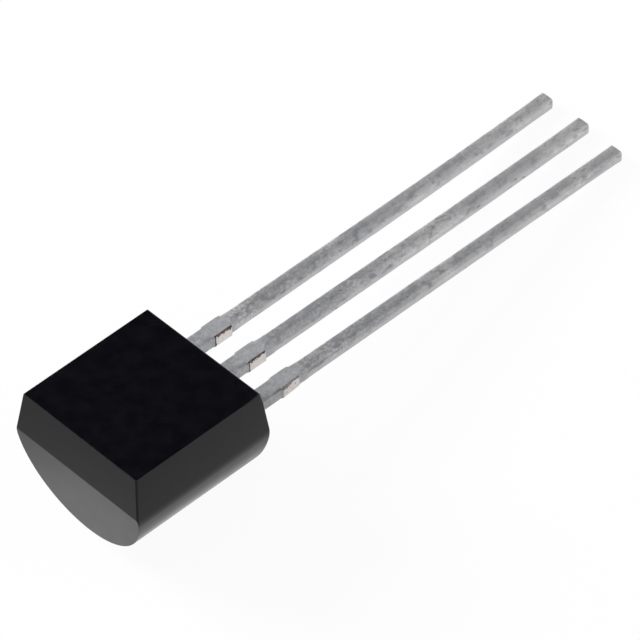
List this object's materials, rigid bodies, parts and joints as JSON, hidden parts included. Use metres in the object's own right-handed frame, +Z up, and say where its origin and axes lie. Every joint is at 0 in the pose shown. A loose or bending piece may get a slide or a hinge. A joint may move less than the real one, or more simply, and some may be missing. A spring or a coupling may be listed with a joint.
{
  "type": "triac",
  "caption": "Moulded semiconductor switch with a flat front, a rounded back and straight tinned leads in a row, lying on its back and lead tips.",
  "frame": {"origin": "on the surface that the part lies on, under the middle of its bounding box", "axes": "+X from the moulded body towards the lead tips, level; +Y across the leads, from the first main terminal's lead to the second's; +Z up, out of the flat front face apart from the part's lean of 7.9 degrees"},
  "size_m": [0.018, 0.0046, 0.004],
  "materials": {
    "moulded_epoxy": "satin",
    "tinned_lead": "satin",
    "solder": "satin",
    "silicon": "gloss",
    "bond_wire": "satin"
  },
  "bodies": {
    "root": {"moulded_body": "moulded_epoxy", "main_terminal_1_lead": "tinned_lead", "gate_lead": "tinned_lead", "main_terminal_2_lead": "tinned_lead", "chip_solder": "solder", "triac_chip": "silicon", "main_bond_wire": "bond_wire", "gate_bond_wire": "bond_wire"}
  },
  "joints": []
}
